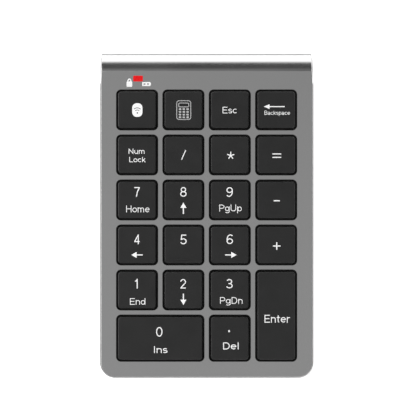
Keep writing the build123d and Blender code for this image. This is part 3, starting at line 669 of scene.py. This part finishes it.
def indicator_red():
    """Lit red lens: deep red plastic that glows, a little unevenly."""
    lens = Finish("indicator_red_lit", Emission_Strength=0.6, Coat_Weight=0.1, Specular_IOR_Level=0.3)
    cloud = lens.noise(1.3)
    glow = lens.blend(lens.reach(cloud, 0, 1), (0.5, 0.001, 0.003), (0.58, 0.002, 0.004))
    lens.colour(glow)
    lens.link(glow, lens.shader.inputs["Emission Color"])
    lens.roughness(lens.reach(cloud, 0.22, 0.34))
    lens.relief((lens.noise(0.3), 0.004))
    return lens


def cell_jacket():
    """A plain dry cell: a dark printed jacket, then a copper band, and bare steel at the positive end."""
    cell = Finish("cell_jacket_banded", metallic=0.7)
    low, high = deck_box("battery_cell")
    length = high.x - low.x
    across = cell.along(RIGHT)

    def past(share, edge):
        return cell.reach(across, 0, 1, high.x - length * share, high.x - length * (share - edge))

    band = past(BAND_SHARE, BAND_EDGE)
    bare = past(BARE_SHARE, BARE_EDGE)
    jacket = cell.blend(band, (0.02, 0.021, 0.024), (0.5, 0.24, 0.1))
    cell.colour(cell.blend(bare, jacket, (0.55, 0.55, 0.54)))
    cell.roughness(cell.reach(cell.noise(1.5), 0.24, 0.36))
    cell.relief((cell.noise(0.4), 0.004))
    return cell


def bare_metal(name, dark, light, rough, stretch=(1, 1, 1)):
    """Plated or drawn metal with the fine lines that drawing or rolling leaves."""
    return Finish(name, metallic=1.0).cloudy(dark, light, 6, rough, 0.1, 0.003, 4.0, stretch)


def print_white():
    """Pad-printed white ink, a little uneven, that glows a little so that it stays white in this light."""
    glow = {"Emission_Color": (1, 1, 1, 1), "Emission_Strength": 0.2}
    ink = Finish("print_white_ink", Specular_IOR_Level=0.3, **glow)
    return ink.cloudy(grey(0.84), grey(0.9), 1.2, (0.45, 0.6), 0.08, 0.002)


def print_grey():
    """The same ink, thinner."""
    ink = Finish("print_grey_ink", Specular_IOR_Level=0.3)
    return ink.cloudy(grey(0.5), grey(0.58), 1.2, (0.45, 0.6), 0.08, 0.002)


def finishes():
    """The finish of each of the record's material slots."""
    steel = ((0.52, 0.52, 0.53), (0.62, 0.62, 0.63))
    nickel = ((0.6, 0.58, 0.54), (0.7, 0.68, 0.64))
    return {
        "anodised_aluminium": anodised_aluminium("anodised_aluminium_frosted", 0.43),
        "cap_aluminium": anodised_aluminium("cap_aluminium_turned", 0.035, (6, 1, 1)),
        "shell_plastic": moulded_plastic("shell_plastic_grained", 0.030, 0.42, 0.012, (0.5, 0.62)),
        "end_plastic": moulded_plastic("end_plastic_grained", 0.022, 0.3, 0.008, (0.42, 0.54)),
        "button_plastic": moulded_plastic("button_plastic_satin", 0.018, 0.2, 0.003, (0.3, 0.4)),
        "key_plastic": key_plastic(),
        "frame_plastic": moulded_plastic("frame_plastic_plain", 0.016, 0.6, 0.006, (0.45, 0.58)),
        "foot_rubber": foot_rubber(),
        "dome_silicone": dome_silicone(),
        "membrane_film": membrane_film(),
        "plate_steel": bare_metal("plate_steel_rolled", *steel, (0.3, 0.42), (40, 1, 1)),
        "board_laminate": board_laminate(),
        "indicator_red": indicator_red(),
        "cell_jacket": cell_jacket(),
        "contact_metal": bare_metal("contact_metal_nickel", *nickel, (0.18, 0.28)),
        "screw_steel": bare_metal("screw_steel_zinc", (0.42, 0.42, 0.43), (0.55, 0.55, 0.57), (0.26, 0.4)),
        "wire_steel": bare_metal("wire_steel_drawn", *steel, (0.16, 0.26)),
    }


# ---------------------------------------------------------------- pieces


def add_piece(name, data, finish, body):
    """Put a mesh in the scene with its finish, riding on a CAD body."""
    piece = bpy.data.objects.new(name, data)
    bpy.context.scene.collection.objects.link(piece)
    data.materials.append(finish.material)
    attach(piece, body)
    return piece


def paint_frame(looks):
    """Give every CAD node the finish of its slot in the record."""
    for part in frame["record"]["subparts"]:
        shown = frame["nodes"][part["node"]].data.materials
        shown.clear()
        shown.append(looks[part["material_slot"]].material)


def add_legends(ink, pale_ink):
    """One thin printed piece on each key, just above its top face."""
    for name, (solid, cut) in key_legends().items():
        low, high = deck_box("key_" + name)
        data = print_mesh("legend_" + name, solid, cut)
        data.transform(on_deck((low.x + high.x) / 2, (low.y + high.y) / 2, high.z + PRINT_LIFT * MM))
        add_piece("legend_" + name, data, pale_ink if name == "calculator" else ink, "key_" + name)


def add_deck_marks(ink):
    """The padlock and battery marks beside the indicator."""
    low, high = deck_box("indicator_lens")
    lens = ((low.x + high.x) / 2, (low.y + high.y) / 2)
    marks = {"mark_lock": (padlock_mark(), LOCK_PLACE), "mark_battery": (battery_mark(), BATTERY_PLACE)}
    for name, ((solid, cut), (right, rear)) in marks.items():
        data = print_mesh(name, solid, cut)
        data.transform(on_deck(lens[0] + right * MM, lens[1] + rear * MM, deck_top() + PRINT_LIFT * MM))
        add_piece(name, data, ink, "case")


def add_homing_bar(finish):
    """The raised bar that a finger finds on the 5 key."""
    low, high = deck_box("key_5")
    outline = rectangle(-BAR_LENGTH / 2, BAR_LENGTH / 2, -BAR_WIDTH / 2, BAR_WIDTH / 2, BAR_CORNER)
    bar = print_mesh("homing_bar", [outline], thickness=BAR_THICKNESS)
    right = (low.x + high.x) / 2 + BAR_RIGHT * MM
    rear = (low.y + high.y) / 2 + BAR_REAR * MM
    bar.transform(on_deck(right, rear, high.z - BAR_SINK * MM))
    piece = add_piece("homing_bar", bar, finish, "key_5")
    soften = piece.modifiers.new("soft_edges", "BEVEL")
    soften.width = BAR_SOFTNESS * MM
    soften.segments = 3


def dome_mesh(name, radius, height):
    """A turned silicone dome: foot ring, sloping wall, boss, and the small button that closes the switch."""
    mesh = bmesh.new()
    rings = []
    for share, level in DOME_PROFILE:
        count = DOME_TURNS if share else 1
        angles = [math.tau * n / count for n in range(count)]
        across = share * radius
        ring = [(across * math.cos(a), across * math.sin(a), level * height) for a in angles]
        rings.append([mesh.verts.new(point) for point in ring])
    for outer, inner in zip(rings, rings[1:]):
        for n in range(DOME_TURNS):
            corners = [outer[n % len(outer)], outer[(n + 1) % len(outer)]]
            corners += [inner[(n + 1) % len(inner)], inner[n % len(inner)]]
            mesh.faces.new(list(dict.fromkeys(corners)))
    bmesh.ops.recalc_face_normals(mesh, faces=mesh.faces)
    for face in mesh.faces:
        face.smooth = True
    data = bpy.data.meshes.new(name)
    mesh.to_mesh(data)
    mesh.free()
    return data


def add_domes(finish):
    """The domes under the keys, built in place of the CAD domes, which are hidden."""
    for name in KEY_NAMES:
        low, high = deck_box("dome_" + name)
        data = dome_mesh("silicone_" + name, (high.x - low.x) / 2 / MM, (high.z - low.z) / MM)
        foot = ((low.x + high.x) / 2, (low.y + high.y) / 2, low.z)
        data.transform(on_deck(*foot))
        piece = add_piece("silicone_" + name, data, finish, "case")
        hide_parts("dome_" + name)
        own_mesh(piece)


# ---------------------------------------------------------------- stage: floor, light and camera


def floor_glow_with_painted_shadow(paint):
    """The floor's own light: low round the object's foot as a painted contact shadow, full a little way off."""
    middle = (cad_box[0] + cad_box[1]) / 2
    half = (cad_box[1] - cad_box[0]) / 2

    def vector_maths(operation, value, other=None):
        node = paint.add("ShaderNodeVectorMath", operation=operation)
        paint.link(value, node.inputs[0])
        if other is not None:
            node.inputs[1].default_value = other
        return node

    place = vector_maths("SUBTRACT", paint.place, (middle.x, middle.y, 0)).outputs["Vector"]
    side = vector_maths("ABSOLUTE", place).outputs["Vector"]
    past = vector_maths("SUBTRACT", side, (half.x, half.y, 0)).outputs["Vector"]
    outside = vector_maths("MAXIMUM", past, (0, 0, 0)).outputs["Vector"]
    away = vector_maths("LENGTH", outside).outputs["Value"]
    # The glow drops towards the object's footprint: a painted contact shadow, not one cast by the lamps.
    return paint.reach(away, FLOOR_GLOW_IN_PAINTED_SHADOW, FLOOR_GLOW_FAR, FLOOR_GLOW_START, FLOOR_GLOW_END)


def add_floor():
    """A plain pale floor that runs far past the view."""
    mesh = bmesh.new()
    bmesh.ops.create_circle(mesh, cap_ends=True, radius=FLOOR_RADIUS, segments=FLOOR_SIDES)
    data = bpy.data.meshes.new("floor")
    mesh.to_mesh(data)
    mesh.free()
    floor = bpy.data.objects.new("floor", data)
    bpy.context.scene.collection.objects.link(floor)
    floor.location.z = cad_box[0].z - FLOOR_DROP
    paint = Finish("floor_pale", Specular_IOR_Level=0.2, Emission_Color=(1, 1, 1, 1))
    cloud = paint.noise(300)
    paint.colour(paint.blend(paint.reach(cloud, 0, 1), grey(0.9), grey(0.92)))
    paint.roughness(paint.reach(cloud, 0.6, 0.7))
    paint.link(floor_glow_with_painted_shadow(paint), paint.shader.inputs["Emission Strength"])
    data.materials.append(paint.material)


def sky_level(tree, angle, levels):
    """Brightness by angle from the deck's normal: a smooth curve through the given (degrees, level)."""
    ramp = tree.nodes.new("ShaderNodeValToRGB")
    ramp.color_ramp.interpolation = "EASE"
    elements = ramp.color_ramp.elements
    while len(elements) < len(levels):
        elements.new(0.5)
    for element, (degrees, level) in zip(elements, levels):
        element.position = degrees / 180
        element.color = (level, level, level, 1)
    tree.links.new(angle, ramp.inputs["Fac"])
    return ramp.outputs["Color"]


def add_sky():
    """A grey studio sky: mid grey overhead, darker round that, and a bright low wall behind the object."""
    world = bpy.data.worlds.new("studio")
    world.use_nodes = True
    bpy.context.scene.world = world
    tree = world.node_tree
    direction = tree.nodes.new("ShaderNodeTexCoord").outputs["Generated"]

    def maths(operation, value, other=None, vector=False):
        node = tree.nodes.new("ShaderNodeVectorMath" if vector else "ShaderNodeMath")
        node.operation = operation
        tree.links.new(value, node.inputs[0])
        if other is not None:
            node.inputs[1].default_value = other
        return node.outputs["Value"]

    up = maths("ARCCOSINE", maths("DOT_PRODUCT", direction, NORMAL, vector=True))
    share = maths("DIVIDE", up, math.pi)
    rear = maths("DOT_PRODUCT", direction, REARWARD, vector=True)
    behind = tree.nodes.new("ShaderNodeMapRange")
    behind.interpolation_type = "SMOOTHSTEP"
    for socket, number in zip(("From Min", "From Max"), SKY_TURN):
        behind.inputs[socket].default_value = number
    tree.links.new(rear, behind.inputs["Value"])
    round_about = sky_level(tree, share, SKY_ROUND)
    backwards = sky_level(tree, share, SKY_BEHIND)
    mix = tree.nodes.new("ShaderNodeMix")
    mix.data_type = "RGBA"
    tree.links.new(behind.outputs["Result"], mix.inputs[0])
    tree.links.new(round_about, mix.inputs[6])
    tree.links.new(backwards, mix.inputs[7])
    sky = tree.nodes["Background"]
    tree.links.new(mix.outputs[2], sky.inputs["Color"])
    sky.inputs["Strength"].default_value = SKY_STRENGTH


def add_softbox(name, azimuth, elevation, power):
    """A square softbox aimed at the object, hidden from the camera."""
    light = bpy.data.lights.new(name, "AREA")
    light.size = SOFTBOX_SIZE
    light.energy = power
    softbox = bpy.data.objects.new(name, light)
    bpy.context.scene.collection.objects.link(softbox)
    around, up = math.radians(azimuth), math.radians(elevation)
    towards = Vector((math.sin(around) * math.cos(up), -math.cos(around) * math.cos(up), math.sin(up)))
    middle = (cad_box[0] + cad_box[1]) / 2
    softbox.location = middle + towards * SOFTBOX_DISTANCE
    softbox.rotation_mode = "QUATERNION"
    softbox.rotation_quaternion = towards.to_track_quat("Z", "Y")
    softbox.visible_camera = False


def add_camera():
    """A long lens square to the deck."""
    lens = bpy.data.cameras.new("camera")
    lens.sensor_width = SENSOR
    lens.lens = SENSOR * VIEW_DISTANCE / VIEW_WIDTH
    lens.clip_start = CLIP_START
    lens.clip_end = CLIP_END
    camera = bpy.data.objects.new("camera", lens)
    bpy.context.scene.collection.objects.link(camera)
    low, high = deck_box("top_cover")
    right = (low.x + high.x) / 2 + LOOK_RIGHT
    place = RIGHT * right + REARWARD * (low.y + LOOK_REARWARD) + NORMAL * (deck_top() + VIEW_DISTANCE)
    turn = Matrix((RIGHT, REARWARD, NORMAL)).transposed().to_4x4()
    camera.matrix_world = Matrix.Translation(place) @ turn
    bpy.context.scene.camera = camera


bpy.context.scene.view_settings.view_transform = "Standard"
add_camera()
add_floor()
add_sky()
for name, azimuth, elevation, power in SOFTBOXES:
    add_softbox(name, azimuth, elevation, power)

looks = finishes()
paint_frame(looks)
white = print_white()
add_legends(white, print_grey())
add_deck_marks(white)
add_homing_bar(looks["key_plastic"])
add_domes(looks["dome_silicone"])
